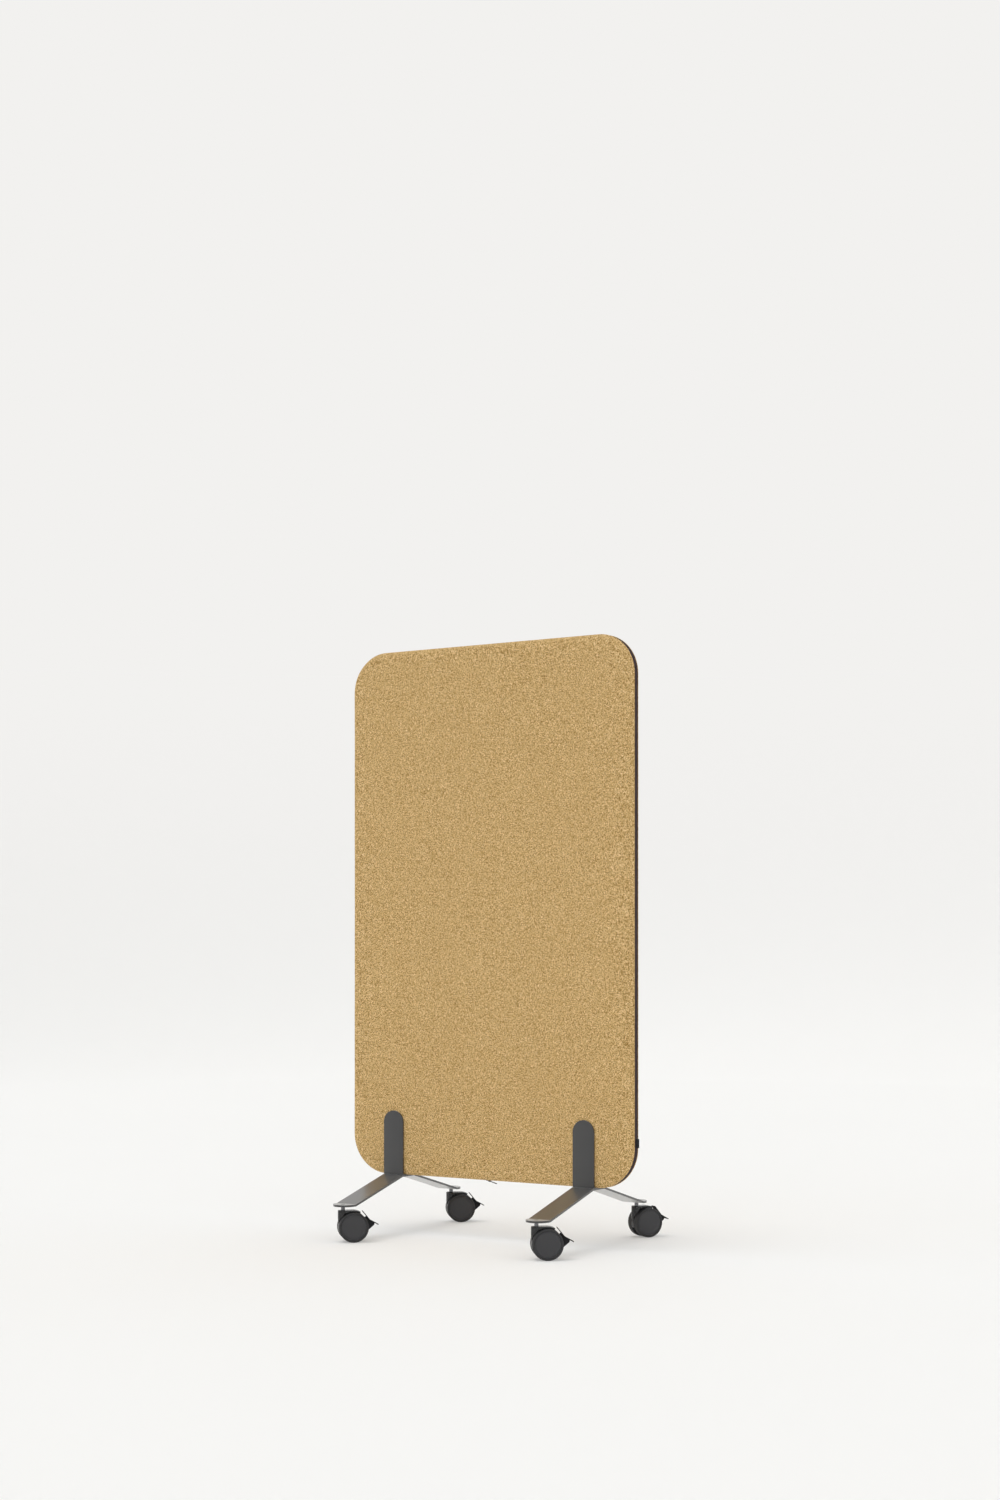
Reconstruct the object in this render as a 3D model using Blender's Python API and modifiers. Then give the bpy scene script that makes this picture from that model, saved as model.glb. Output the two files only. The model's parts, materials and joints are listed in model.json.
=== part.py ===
"""A mobile acoustic screen: an upholstered panel held between the tongues of two bent steel feet,
on four braked twin-wheel casters.

Metres, +Z up. The floor is Z = 0, the front of the screen faces -Y, and the origin lies on the floor
under the middle of the whole footprint. Every caster rests with its wheels trailing backwards, so the
panel's middle plane stands a little in front of the origin.
"""

import math

import bmesh
import bpy
from mathutils import Matrix

# Panel
panel_width = 0.840
panel_height = 1.350
panel_thickness = 0.040
panel_corner = 0.100
panel_edge = 0.0115
panel_lift = 0.150
panel_forward = 0.0265
cover_thickness = 0.0015
gap = 0.0003
overrun = 0.010

# Wooden frame and its filling
frame_thickness = 0.012
stile_width = 0.045
top_rail_margin = 0.020
bottom_rail_margin = 0.040

# Zip, its slider and the sewn-in tab
zip_width = 0.017
zip_thickness = 0.001
slider_home = -0.005
slider_length = 0.0135
slider_width = 0.009
slider_plate = 0.0022
slider_back = 0.007
bridge_height = 0.0030
bridge_width = 0.0022
bridge_bar = 0.0011
bridge_half = 0.0033
pull_length = 0.0235
pull_width = 0.0054
pull_thickness = 0.0012
pull_slot = 0.0050
pull_sag = math.radians(14)
tab_height = 0.022
tab_reach = 0.009
tab_thickness = 0.0012
tab_rise = 0.113
tab_forward = 0.0025

# Feet
foot_inset = 0.135
stem_spread = 0.480
strip_width = 0.060
strip_thickness = 0.005
strip_bend = 0.010
end_reach = 0.022
end_flat = 0.015
tongue_height = 0.165
tongue_thickness = 0.005
tongue_edge = 0.0006

# Screws through the back tongues into the frame
screw_radius = 0.0030
screw_length = 0.030
screw_head_radius = 0.00525
screw_head_height = 0.0033
screw_clearance = 0.0004
lower_screw_rise = 0.040
upper_screw_rise = 0.110
insert_radius = 0.0048
insert_flange = 0.0012
insert_flange_radius = 0.0062

# Casters
wheel_radius = 0.0375
tread_depth = 0.0060
tread_shoulder = 0.0018
wheel_width = 0.0165
wheel_spacing = 0.0145
wheel_shoulder = 0.0012
wheel_rim = 0.0045
wheel_dish = 0.0065
wheel_hub_radius = 0.0080
caster_trail = 0.025
web_width = 0.0125
web_lip = 0.0006
hub_radius = 0.0120
hood_width = 0.0240
hood_clearance = 0.0015
boss_radius = 0.0130
boss_rise = 0.0045
boss_drop = 0.0330
boss_edge = 0.0012
axle_radius = 0.0030
axle_end_wall = 0.0040
stem_radius = 0.0050
stem_neck = 0.0097
stem_socket = 0.0280
stem_recess = 0.0004
trail_angles = {
    "front_left": math.radians(44),
    "front_right": math.radians(39),
    "back_left": math.radians(41),
    "back_right": math.radians(58),
}

# Brake lever: points as shares of the wheel's radius, from the wheel's centre, along the trail and up
lever_pivot_shares = (0.733, 0.440)
lever_path_shares = ((0.635, 1.040), (1.125, 0.435), (1.685, 0.130))
gusset_shares = ((0.905, 0.706), (1.125, 0.437), (1.450, 0.258), (1.420, 0.105), (1.060, -0.200), (0.930, -0.180))
lever_plate = 0.0018
lever_width = 0.0180
lever_bend = 0.0140
lever_web = 0.0070
lever_eye = 0.0050
cheek_eye = 0.0062
trunnion_radius = 0.0020
hood_end = math.radians(64)
web_low_end = math.radians(200)
hub_low_end = math.radians(340)

# Facets
corner_steps = 8
edge_steps = 3
bend_steps = 3
tread_steps = 30
wheel_steps = 20
hole_steps = 12
end_steps = 12
arc_steps = 10
weld_distance = 0.00001
screw_merge = 0.0001

# Worked out from the values above
panel_half = panel_thickness / 2
panel_top = panel_lift + panel_height
foot_x = panel_width / 2 - foot_inset
stem_y = stem_spread / 2
housing_top = 2 * wheel_radius + boss_rise
plate_underside = housing_top + stem_neck
saddle_top = panel_lift - gap
zip_recess = cover_thickness - zip_thickness
frame_inset = zip_recess + zip_thickness + gap
tongue_inner = panel_half + gap
tongue_outer = tongue_inner + tongue_thickness
bottom_rail_height = panel_corner + bottom_rail_margin
top_rail_height = panel_corner + top_rail_margin


def empty_scene():
    for obj in list(bpy.data.objects):
        bpy.data.objects.remove(obj, do_unlink=True)


empty_scene()
parts = bpy.data.collections.new("acoustic_screen")
cutters = bpy.data.collections.new("cutters")
for collection in (parts, cutters):
    bpy.context.scene.collection.children.link(collection)


# Materials
def principled(name, colour, roughness, metallic=0.0):
    made = bpy.data.materials.new(name)
    made.use_nodes = True
    shader = made.node_tree.nodes["Principled BSDF"]
    shader.inputs["Base Color"].default_value = (*colour, 1.0)
    shader.inputs["Roughness"].default_value = roughness
    shader.inputs["Metallic"].default_value = metallic
    made.diffuse_color = (*colour, 1.0)
    return made


MATERIALS = {
    "mustard_fabric": principled("mustard_fabric", (0.530, 0.360, 0.150), 0.95),
    "foam": principled("foam", (0.700, 0.680, 0.620), 0.95),
    "wool_core": principled("wool_core", (0.450, 0.450, 0.440), 0.95),
    "plywood": principled("plywood", (0.520, 0.360, 0.200), 0.70),
    "zip_tape": principled("zip_tape", (0.050, 0.022, 0.026), 0.75),
    "zip_metal": principled("zip_metal", (0.035, 0.033, 0.033), 0.40, 0.6),
    "black_ribbon": principled("black_ribbon", (0.012, 0.012, 0.013), 0.80),
    "graphite_coat": principled("graphite_coat", (0.072, 0.072, 0.076), 0.42, 0.35),
    "brass": principled("brass", (0.550, 0.400, 0.160), 0.35, 1.0),
    "zinc_steel": principled("zinc_steel", (0.450, 0.450, 0.460), 0.35, 1.0),
    "black_plastic": principled("black_plastic", (0.020, 0.020, 0.021), 0.35),
    "charcoal_plastic": principled("charcoal_plastic", (0.052, 0.052, 0.054), 0.50),
    "tread_rubber": principled("tread_rubber", (0.030, 0.030, 0.031), 0.65),
}


# Shapes
def arc(centre, radius, start, end, steps):
    """Points of an arc in two axes, both ends included."""
    angles = [start + (end - start) * i / steps for i in range(steps + 1)]
    return [(centre[0] + radius * math.cos(a), centre[1] + radius * math.sin(a)) for a in angles]


def rounded_outline(inset, bottom, top, round_bottom=True, round_top=True):
    """The panel's outline in X and Z, moved in by inset, between two heights, with round or square ends."""
    side = panel_width / 2 - inset
    radius = panel_corner - inset
    corner_x = panel_width / 2 - panel_corner
    quarter = math.pi / 2
    points = []
    if round_bottom:
        low = bottom + radius
        points += arc((-corner_x, low), radius, 2 * quarter, 3 * quarter, corner_steps)
        points += arc((corner_x, low), radius, 3 * quarter, 4 * quarter, corner_steps)
    else:
        points += [(-side, bottom), (side, bottom)]
    if round_top:
        high = top - radius
        points += arc((corner_x, high), radius, 0, quarter, corner_steps)
        points += arc((-corner_x, high), radius, quarter, 2 * quarter, corner_steps)
    else:
        points += [(side, top), (-side, top)]
    return points


def filleted(points, radius, steps):
    """The same open path with each inner corner turned on an arc of this radius."""
    path = [points[0]]
    for before, corner, after in zip(points, points[1:], points[2:]):
        into = math.atan2(corner[1] - before[1], corner[0] - before[0])
        out = math.atan2(after[1] - corner[1], after[0] - corner[0])
        turn = (out - into + math.pi) % (2 * math.pi) - math.pi
        reach = radius * math.tan(abs(turn) / 2)
        side = math.copysign(math.pi / 2, turn)
        start = (corner[0] - reach * math.cos(into), corner[1] - reach * math.sin(into))
        centre = (start[0] + radius * math.cos(into + side), start[1] + radius * math.sin(into + side))
        path += arc(centre, radius, into - side, into - side + turn, steps)
    return path + [points[-1]]


def link(obj, collection):
    collection.objects.link(obj)
    return obj


def solid_mesh(builder, weld=True):
    """The evaluated shape of a builder object as a mesh of its own, with loose caps welded."""
    bpy.context.view_layer.update()
    graph = bpy.context.evaluated_depsgraph_get()
    mesh = bpy.data.meshes.new_from_object(builder.evaluated_get(graph))
    mesh.transform(builder.matrix_world)
    bpy.data.objects.remove(builder, do_unlink=True)
    if weld:
        shape = bmesh.new()
        shape.from_mesh(mesh)
        bmesh.ops.remove_doubles(shape, verts=shape.verts, dist=weld_distance)
        bmesh.ops.recalc_face_normals(shape, faces=shape.faces)
        shape.to_mesh(mesh)
        shape.free()
    return mesh


def outline_curve(points, half_depth, fill, cyclic=True, edge_round=0.0, round_steps=0):
    """A 2D curve through points in X and Z, as deep as asked along Y."""
    curve = bpy.data.curves.new("outline", "CURVE")
    curve.dimensions = "2D"
    curve.fill_mode = "BOTH" if fill else "NONE"
    curve.extrude = half_depth - edge_round
    curve.bevel_depth = edge_round
    curve.bevel_resolution = round_steps
    curve.offset = -edge_round
    spline = curve.splines.new("POLY")
    spline.points.add(len(points) - 1)
    for point, (x, z) in zip(spline.points, points):
        point.co = (x, z, 0, 1)
    spline.use_cyclic_u = cyclic
    holder = link(bpy.data.objects.new("outline", curve), parts)
    holder.rotation_euler = (math.pi / 2, 0, 0)
    return holder


def plate(points, depth, edge_round=0.0, round_steps=0):
    """A flat outline in X and Z given a thickness along Y, centred on Y = 0."""
    return solid_mesh(outline_curve(points, depth / 2, True, True, edge_round, round_steps))


def strip(points, width, thickness, cyclic=False):
    """A ribbon that follows a path in X and Z, width along Y, with walls of an even thickness."""
    ribbon = solid_mesh(outline_curve(points, width / 2, False, cyclic))
    holder = link(bpy.data.objects.new("ribbon", ribbon), parts)
    thicken = holder.modifiers.new("wall", "SOLIDIFY")
    thicken.thickness = thickness
    thicken.offset = 0
    thicken.use_even_offset = True
    return solid_mesh(holder)


def turned(profile, steps):
    """A profile of radius and height turned round Z. It runs down the outer side."""
    mesh = bpy.data.meshes.new("profile")
    count = len(profile)
    closed = all(radius > 0 for radius, _ in profile)
    edges = [(i, i + 1) for i in range(count - 1)] + ([(count - 1, 0)] if closed else [])
    mesh.from_pydata([(radius, 0, height) for radius, height in profile], edges, [])
    holder = link(bpy.data.objects.new("profile", mesh), parts)
    turn = holder.modifiers.new("turn", "SCREW")
    turn.steps = steps
    turn.render_steps = steps
    turn.use_merge_vertices = True
    turn.merge_threshold = screw_merge
    return solid_mesh(holder)


def box(low, high):
    """A box between two corners."""
    shape = bmesh.new()
    bmesh.ops.create_cube(shape, size=1)
    centre = [(a + b) / 2 for a, b in zip(low, high)]
    sides = [b - a for a, b in zip(low, high)]
    shape.transform(Matrix.Translation(centre) @ Matrix.Diagonal((*sides, 1)))
    mesh = bpy.data.meshes.new("box")
    shape.to_mesh(mesh)
    shape.free()
    return mesh


def rod(radius, low, high, axis, at, steps=hole_steps, flats=False):
    """A cylinder from low to high along an axis, at the other two coordinates. With flats, radius is to its flats."""
    shape = bmesh.new()
    corner_radius = radius / math.cos(math.pi / steps) if flats else radius
    bmesh.ops.create_cone(
        shape, cap_ends=True, segments=steps, radius1=corner_radius, radius2=corner_radius, depth=high - low
    )
    middle = (low + high) / 2
    if axis == "Y":
        shape.transform(Matrix.Rotation(math.pi / 2, 4, "X"))
        shape.transform(Matrix.Translation((at[0], middle, at[1])))
    else:
        shape.transform(Matrix.Translation((at[0], at[1], middle)))
    mesh = bpy.data.meshes.new("rod")
    shape.to_mesh(mesh)
    shape.free()
    return mesh


def combined(base, changes):
    """A mesh cut by, joined to or kept within others in turn, by exact Booleans."""
    holder = link(bpy.data.objects.new("base", base), parts)
    tools = []
    for operation, mesh in changes:
        tool = link(bpy.data.objects.new("tool", mesh), cutters)
        tool.hide_render = True
        tool.display_type = "WIRE"
        tools.append(tool)
        change = holder.modifiers.new(operation.lower(), "BOOLEAN")
        change.operation = operation
        change.object = tool
        change.solver = "EXACT"
    mesh = solid_mesh(holder, weld=False)
    for tool in tools:
        bpy.data.objects.remove(tool, do_unlink=True)
    return mesh


def empty(name, location, parent=None, turn=0.0):
    made = link(bpy.data.objects.new(name, None), parts)
    made.location = location
    made.rotation_euler = (0, 0, turn)
    made.parent = parent
    return made


def node(name, mesh, material, parent, location=(0, 0, 0), rotation=(0, 0, 0), smooth=True):
    """One named piece of the screen."""
    if not mesh.materials:
        mesh.materials.append(MATERIALS[material])
        if smooth:
            mesh.shade_smooth()
            mesh.set_sharp_from_angle(angle=math.radians(35))
    made = link(bpy.data.objects.new(name, mesh), parts)
    made.location = location
    made.rotation_euler = rotation
    made.parent = parent
    return made


# The panel's layers
def panel_form(inset):
    """The whole panel's shape, moved in by inset all round: flat faces and a flat edge, rounded where they meet."""
    points = rounded_outline(inset, panel_lift + inset, panel_top - inset)
    return plate(points, 2 * (panel_half - inset), panel_edge - inset, edge_steps)


def beyond(side, half_width):
    """A block that takes away all but one side's half, from a plane half_width off the middle."""
    reach = panel_width + overrun
    across = sorted((side * half_width, -side * (panel_thickness + overrun)))
    return box((-reach, across[0], 0), (reach, across[1], panel_top + overrun))


def screw_places():
    """Name, X and Z of each screw."""
    for hand, side in (("left", -1), ("right", 1)):
        for level, rise in (("lower", lower_screw_rise), ("upper", upper_screw_rise)):
            yield f"{hand}_{level}", side * foot_x, panel_lift + rise


def screw_holes(radius, low, high):
    return [("DIFFERENCE", rod(radius, low, high, "Y", (x, z), flats=True)) for _, x, z in screw_places()]


def make_panel(screen):
    hole = screw_radius + screw_clearance
    reach = panel_thickness
    for name, side in (("front", -1), ("back", 1)):
        holes = screw_holes(hole, 0, reach) if side > 0 else []
        skin = [("DIFFERENCE", panel_form(cover_thickness)), ("DIFFERENCE", beyond(side, zip_width / 2 + gap))]
        node(f"{name}_cover", combined(panel_form(0.0), skin + holes), "mustard_fabric", screen)
        holes = screw_holes(hole, 0, reach) if side > 0 else []
        core = [("DIFFERENCE", beyond(side, frame_thickness / 2 + gap))]
        node(f"{name}_pad", combined(panel_form(cover_thickness + gap), core + holes), "foam", screen)


def insert_seat(x, z):
    """A through bore with a counterbore at the back, for one insert."""
    wide = insert_flange_radius + gap
    narrow = insert_radius + gap
    step = frame_thickness / 2 - insert_flange - gap
    profile = [(0, frame_thickness), (wide, frame_thickness), (wide, step), (narrow, step)]
    seat = turned(profile + [(narrow, -frame_thickness), (0, -frame_thickness)], hole_steps)
    seat.transform(Matrix.Translation((x, 0, z)) @ Matrix.Rotation(-math.pi / 2, 4, "X"))
    return seat


def make_frame(screen):
    low = panel_lift + frame_inset
    high = panel_top - frame_inset
    bottom_joint = panel_lift + bottom_rail_height
    top_joint = panel_top - top_rail_height
    bores = [("DIFFERENCE", insert_seat(x, z)) for _, x, z in screw_places()]
    bottom_rail = plate(rounded_outline(frame_inset, low, bottom_joint, round_top=False), frame_thickness)
    node("frame_bottom_rail", combined(bottom_rail, bores), "plywood", screen, smooth=False)
    top_rail = plate(rounded_outline(frame_inset, top_joint, high, round_bottom=False), frame_thickness)
    node("frame_top_rail", top_rail, "plywood", screen, smooth=False)
    outer = panel_width / 2 - frame_inset
    inner = outer - stile_width
    half = frame_thickness / 2
    for name, edges in (("left", (-outer, -inner)), ("right", (inner, outer))):
        stile = box((edges[0], -half, bottom_joint + gap), (edges[1], half, top_joint - gap))
        node(f"frame_{name}_stile", stile, "plywood", screen, smooth=False)
    filling = box((-inner + gap, -half, bottom_joint + gap), (inner - gap, half, top_joint - gap))
    node("acoustic_core", filling, "wool_core", screen, smooth=False)


def make_inserts(screen):
    """Flanged inserts, pressed into the bottom rail from the back."""
    half = frame_thickness / 2
    bore = screw_radius + gap
    profile = [
        (bore, half),
        (insert_flange_radius, half),
        (insert_flange_radius, half - insert_flange),
        (insert_radius, half - insert_flange),
        (insert_radius, -half + gap),
        (bore, -half + gap),
    ]
    mesh = turned(profile, hole_steps)
    for name, x, z in screw_places():
        node(f"{name}_insert", mesh, "brass", screen, (x, 0, z), (-math.pi / 2, 0, 0))


def make_screws(screen):
    """Button-head screws that enter from the back."""
    head_seat = tongue_outer + gap
    head_share = 0.62
    profile = [
        (0, screw_head_height),
        (screw_head_radius * head_share, screw_head_height),
        (screw_head_radius, screw_head_height / 2),
        (screw_head_radius, 0),
        (screw_radius, 0),
        (screw_radius, -screw_length),
        (0, -screw_length),
    ]
    mesh = turned(profile, hole_steps)
    for name, x, z in screw_places():
        node(f"{name}_screw", mesh, "zinc_steel", screen, (x, head_seat, z), (-math.pi / 2, 0, 0))


# Zip and tab
def make_zip(screen):
    inset = zip_recess + zip_thickness / 2
    band = strip(rounded_outline(inset, panel_lift + inset, panel_top - inset), zip_width, zip_thickness, True)
    node("zip_tape", band, "zip_tape", screen)
    make_slider(screen, panel_lift + zip_recess - gap)
    root = panel_width / 2 - zip_recess + gap
    front = -tab_forward
    low = panel_lift + tab_rise - tab_height / 2
    tab = box((root, front, low), (root + tab_reach, front + tab_thickness, low + tab_height))
    node("label_tab", tab, "black_ribbon", screen, smooth=False)


def make_slider(screen, seat):
    """The zip's slider hangs under the bottom edge, with a pull hooked through its bridge."""
    carriage = empty("slider_carriage", (slider_home, 0, seat), screen)
    front = slider_length - slider_back
    chamfer = slider_plate / 2
    body = plate(
        [
            (-slider_back, 0),
            (-slider_back, -chamfer),
            (chamfer - slider_back, -slider_plate),
            (front - chamfer, -slider_plate),
            (front, -chamfer),
            (front, 0),
        ],
        slider_width,
    )
    shoulder = bridge_half - bridge_bar
    crown = -slider_plate - bridge_height
    arch = [(-bridge_half, -chamfer), (-shoulder, crown), (shoulder, crown), (bridge_half, -chamfer)]
    inner = shoulder - bridge_bar / 2
    ceiling = crown + bridge_bar
    window = [(-inner, -slider_plate), (-inner, ceiling), (inner, ceiling), (inner, -slider_plate)]
    bridge = combined(plate(arch, bridge_width), [("DIFFERENCE", plate(window, slider_width))])
    node("zip_slider", combined(body, [("UNION", bridge)]), "zip_metal", carriage)
    eyelet = empty("pull_eyelet", (0, 0, (ceiling - slider_plate) / 2), carriage)
    make_pull(eyelet)


def make_pull(eyelet):
    """A tab with a slotted end: its cross-bar lies in the bridge's window and its cheeks pass either side."""
    cheek = bridge_width / 2 + gap
    half = pull_width / 2
    bar = pull_thickness / 2
    tab = box((-bar, -half, -bar), (pull_length, half, bar))
    slot = box((bar, -cheek, -pull_width), (pull_slot, cheek, pull_width))
    mesh = combined(tab, [("DIFFERENCE", slot)])
    mesh.transform(Matrix.Rotation(pull_sag, 4, "Y"))
    node("zip_pull", mesh, "zip_metal", eyelet, smooth=False)


# Feet
def strip_path():
    """The foot bar's middle line, from the front tip to the back tip."""
    middle = saddle_top - strip_thickness / 2
    end = plate_underside + strip_thickness / 2
    tip = stem_y + end_reach
    knee = stem_y - end_flat
    points = [(-tip, end), (-knee, end), (-tongue_outer, middle), (tongue_outer, middle), (knee, end), (tip, end)]
    return filleted(points, strip_bend, bend_steps)


def foot_bar_mesh():
    """A bent strip whose ends are cut round, with a hole for each stem."""
    bar = strip(strip_path(), strip_width, strip_thickness)
    quarter_turn = Matrix.Rotation(math.pi / 2, 4, "Z")
    bar.transform(quarter_turn)
    half = strip_width / 2
    straight = stem_y + end_reach - half
    plan = arc((0, straight), half, 0, math.pi, end_steps) + arc((0, -straight), half, math.pi, 2 * math.pi, end_steps)
    blank = plate(plan, 2 * panel_lift)
    blank.transform(Matrix.Rotation(-math.pi / 2, 4, "X"))
    holes = [
        ("DIFFERENCE", rod(stem_radius + gap, 0, panel_lift, "Z", (0, side * stem_y), flats=True)) for side in (-1, 1)
    ]
    return combined(bar, [("INTERSECT", blank)] + holes)


def tongue_mesh():
    """A flat plate with a half-round top, standing on the saddle."""
    half = strip_width / 2
    points = [(-half, gap), (half, gap)] + arc((0, tongue_height - half), half, 0, math.pi, end_steps)
    return plate(points, tongue_thickness, tongue_edge)


def make_feet(screen):
    bar = foot_bar_mesh()
    front = tongue_mesh()
    hole = screw_radius + screw_clearance
    middle = tongue_inner + tongue_thickness / 2
    seat = saddle_top
    bores = []
    for rise in (lower_screw_rise, upper_screw_rise):
        height = panel_lift + rise - seat
        bores.append(("DIFFERENCE", rod(hole, -overrun, overrun, "Y", (0, height), flats=True)))
    back = combined(tongue_mesh(), bores)
    for name, side in (("left", -1), ("right", 1)):
        foot = empty(f"{name}_foot", (side * foot_x, 0, 0), screen)
        node(f"{name}_foot_bar", bar, "graphite_coat", foot)
        node(f"{name}_front_tongue", front, "graphite_coat", foot, (0, -middle, seat))
        node(f"{name}_back_tongue", back, "graphite_coat", foot, (0, middle, seat))


# Casters, in a frame with the swivel axis at X = Y = 0 and the wheels trailing along +X
wheel_centre = (caster_trail, wheel_radius)
hood_radius = wheel_radius + boss_rise
wheel_envelope = wheel_radius + hood_clearance


def from_wheel(shares):
    return (wheel_centre[0] + shares[0] * wheel_radius, wheel_centre[1] + shares[1] * wheel_radius)


lever_pivot = from_wheel(lever_pivot_shares)


def wheel_mesh():
    """A dished wheel: closed outer face, hollow back and a blind hub. Its axis is Z and its inner face Z = 0."""
    rim = wheel_radius - tread_depth - gap
    bore = axle_radius + gap
    profile = [
        (0, wheel_width),
        (rim - wheel_shoulder, wheel_width),
        (rim, wheel_width - wheel_shoulder),
        (rim, 0),
        (rim - wheel_rim, 0),
        (rim - wheel_rim, wheel_width - wheel_dish),
        (wheel_hub_radius, wheel_width - wheel_dish),
        (wheel_hub_radius, 0),
        (bore, 0),
        (bore, wheel_width - axle_end_wall),
        (0, wheel_width - axle_end_wall),
    ]
    return turned(profile, wheel_steps)


def tyre_mesh():
    """A tread with rounded shoulders. Its flats touch the floor."""
    to_corner = 1 / math.cos(math.pi / tread_steps)
    outer = wheel_radius * to_corner
    inner = wheel_radius - tread_depth
    profile = [
        (inner, wheel_width),
        (outer - tread_shoulder, wheel_width),
        (outer, wheel_width - tread_shoulder),
        (outer, tread_shoulder),
        (outer - tread_shoulder, 0),
        (inner, 0),
    ]
    return turned(profile, tread_steps)


def housing_mesh():
    """One moulding: a boss for the stem, a web between the wheels, a hood over them and cheeks for the lever."""
    quarter = math.pi / 2
    hood = [(0, housing_top), (caster_trail, housing_top)]
    hood += arc(wheel_centre, hood_radius, quarter, hood_end, edge_steps)
    hood += [wheel_centre, (0, wheel_radius)]
    web = arc(wheel_centre, wheel_radius - web_lip, hood_end, web_low_end, arc_steps)
    web += arc(wheel_centre, hub_radius, web_low_end, hub_low_end, edge_steps)
    web += arc(lever_pivot, cheek_eye, -quarter, quarter / 2, edge_steps)
    boss = turned(
        [
            (0, housing_top),
            (boss_radius - boss_edge, housing_top),
            (boss_radius, housing_top - boss_edge),
            (boss_radius, housing_top - boss_drop),
            (0, housing_top - boss_drop),
        ],
        wheel_steps,
    )
    side = web_width / 2
    beyond_wheels = side + wheel_width + overrun
    envelopes = [
        ("DIFFERENCE", rod(wheel_envelope, low, high, "Y", wheel_centre, 2 * wheel_steps, True))
        for low, high in ((-beyond_wheels, -side), (side, beyond_wheels))
    ]
    slot_radius = cheek_eye + lever_eye - trunnion_radius
    slot = lever_web / 2 + gap
    cuts = [
        ("DIFFERENCE", rod(slot_radius, -slot, slot, "Y", lever_pivot, flats=True)),
        ("DIFFERENCE", rod(trunnion_radius + gap, -web_width, web_width, "Y", lever_pivot, flats=True)),
        ("DIFFERENCE", rod(axle_radius + gap, -web_width, web_width, "Y", wheel_centre, flats=True)),
        ("DIFFERENCE", rod(stem_radius + gap, housing_top - stem_socket, housing_top + overrun, "Z", (0, 0), flats=True)),
    ]
    joins = [("UNION", boss)] + envelopes + [("UNION", plate(web, web_width))]
    return combined(plate(hood, hood_width), joins + cuts)


def lever_mesh():
    """A rocker: a thin pressed-looking plate, a web under it, and two moulded trunnions."""
    path = filleted([from_wheel(shares) for shares in lever_path_shares], lever_bend, bend_steps)
    quarter = math.pi / 2
    web = [from_wheel(shares) for shares in gusset_shares]
    web += arc(lever_pivot, lever_eye, 3 * quarter, quarter, edge_steps)
    trunnion_reach = web_width / 2 - gap
    trunnions = rod(trunnion_radius, -trunnion_reach, trunnion_reach, "Y", lever_pivot)
    plate_mesh = strip(path, lever_width, lever_plate)
    return combined(plate_mesh, [("UNION", plate(web, lever_web)), ("UNION", trunnions)])


def make_casters(screen):
    housing = housing_mesh()
    lever = lever_mesh()
    wheel = wheel_mesh()
    tyre = tyre_mesh()
    inner_face = wheel_spacing / 2
    axle_reach = inner_face + wheel_width - axle_end_wall - gap
    axle = rod(axle_radius, -axle_reach, axle_reach, "Y", wheel_centre)
    stem_top = plate_underside + strip_thickness - stem_recess
    stem = rod(stem_radius, housing_top - stem_socket + gap, stem_top, "Z", (0, 0))
    for place, angle in trail_angles.items():
        end, hand = place.split("_")
        x = foot_x if hand == "right" else -foot_x
        y = stem_y if end == "back" else -stem_y
        caster = empty(f"{place}_caster", (x, y, 0), screen, angle)
        node(f"{place}_stem", stem, "zinc_steel", caster)
        node(f"{place}_housing", housing, "black_plastic", caster)
        node(f"{place}_axle", axle, "zinc_steel", caster)
        node(f"{place}_brake_lever", lever, "black_plastic", caster)
        for hand_name, face in (("right", -1), ("left", 1)):
            at = (caster_trail, face * inner_face, wheel_radius)
            turn = (-face * math.pi / 2, 0, 0)
            node(f"{place}_{hand_name}_wheel", wheel, "charcoal_plastic", caster, at, turn)
            node(f"{place}_{hand_name}_tyre", tyre, "tread_rubber", caster, at, turn)


whole = empty("screen", (0, -panel_forward, 0))
make_panel(whole)
make_frame(whole)
make_inserts(whole)
make_screws(whole)
make_zip(whole)
make_feet(whole)
make_casters(whole)
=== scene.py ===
"""The looks of a mobile acoustic screen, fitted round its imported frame.

Metres, +Z up. The front of the screen faces -Y.
"""

import json
import math

import bmesh
import bpy
import numpy as np
from mathutils import Matrix, Vector, noise


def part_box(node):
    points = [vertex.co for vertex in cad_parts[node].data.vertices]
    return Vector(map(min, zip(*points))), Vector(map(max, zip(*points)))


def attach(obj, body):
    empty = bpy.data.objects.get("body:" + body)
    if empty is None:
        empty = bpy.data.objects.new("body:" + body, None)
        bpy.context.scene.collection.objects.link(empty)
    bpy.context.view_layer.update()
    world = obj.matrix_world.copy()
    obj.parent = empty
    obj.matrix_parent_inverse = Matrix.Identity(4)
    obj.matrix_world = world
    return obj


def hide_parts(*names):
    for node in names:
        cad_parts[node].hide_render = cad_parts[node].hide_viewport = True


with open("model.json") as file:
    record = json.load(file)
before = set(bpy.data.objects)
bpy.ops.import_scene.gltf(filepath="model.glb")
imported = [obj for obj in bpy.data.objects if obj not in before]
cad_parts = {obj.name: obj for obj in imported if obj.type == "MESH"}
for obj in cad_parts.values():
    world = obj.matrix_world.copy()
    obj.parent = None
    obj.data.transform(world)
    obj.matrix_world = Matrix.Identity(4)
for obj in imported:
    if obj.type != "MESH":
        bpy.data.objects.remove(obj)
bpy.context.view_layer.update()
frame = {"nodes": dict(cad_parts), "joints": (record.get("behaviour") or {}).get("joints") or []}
cad = frame["nodes"]


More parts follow.
